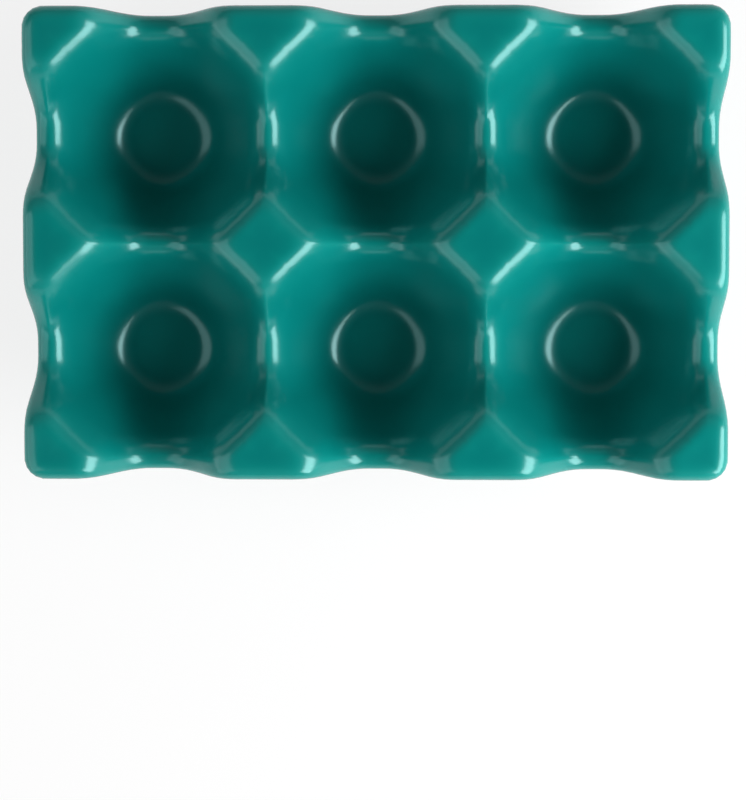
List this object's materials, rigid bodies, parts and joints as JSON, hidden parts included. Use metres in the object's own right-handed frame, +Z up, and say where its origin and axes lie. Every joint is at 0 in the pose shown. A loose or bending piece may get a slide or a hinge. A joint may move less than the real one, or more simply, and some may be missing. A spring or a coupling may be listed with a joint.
{
  "type": "egg tray",
  "caption": "Glazed stoneware egg tray: tapered wells in rows with flat round floors, flat diamond lands between them, and a wavy rim collar, for keeping or serving eggs.",
  "frame": {"origin": "on the resting plane, below the middle of the tray", "axes": "+X along the tray's length, +Y towards the back, +Z up out of the wells"},
  "size_m": [0.1592, 0.1068, 0.036],
  "materials": {
    "glaze": "satin gloss teal glaze",
    "bare_clay": "unglazed fired clay, matt"
  },
  "bodies": {
    "root": {"cup_front_left": "glaze", "cup_front_middle": "glaze", "cup_front_right": "glaze", "cup_back_left": "glaze", "cup_back_middle": "glaze", "cup_back_right": "glaze", "foot_front_left": "bare_clay", "foot_front_middle": "bare_clay", "foot_front_right": "bare_clay", "foot_back_left": "bare_clay", "foot_back_middle": "bare_clay", "foot_back_right": "bare_clay"}
  },
  "joints": []
}
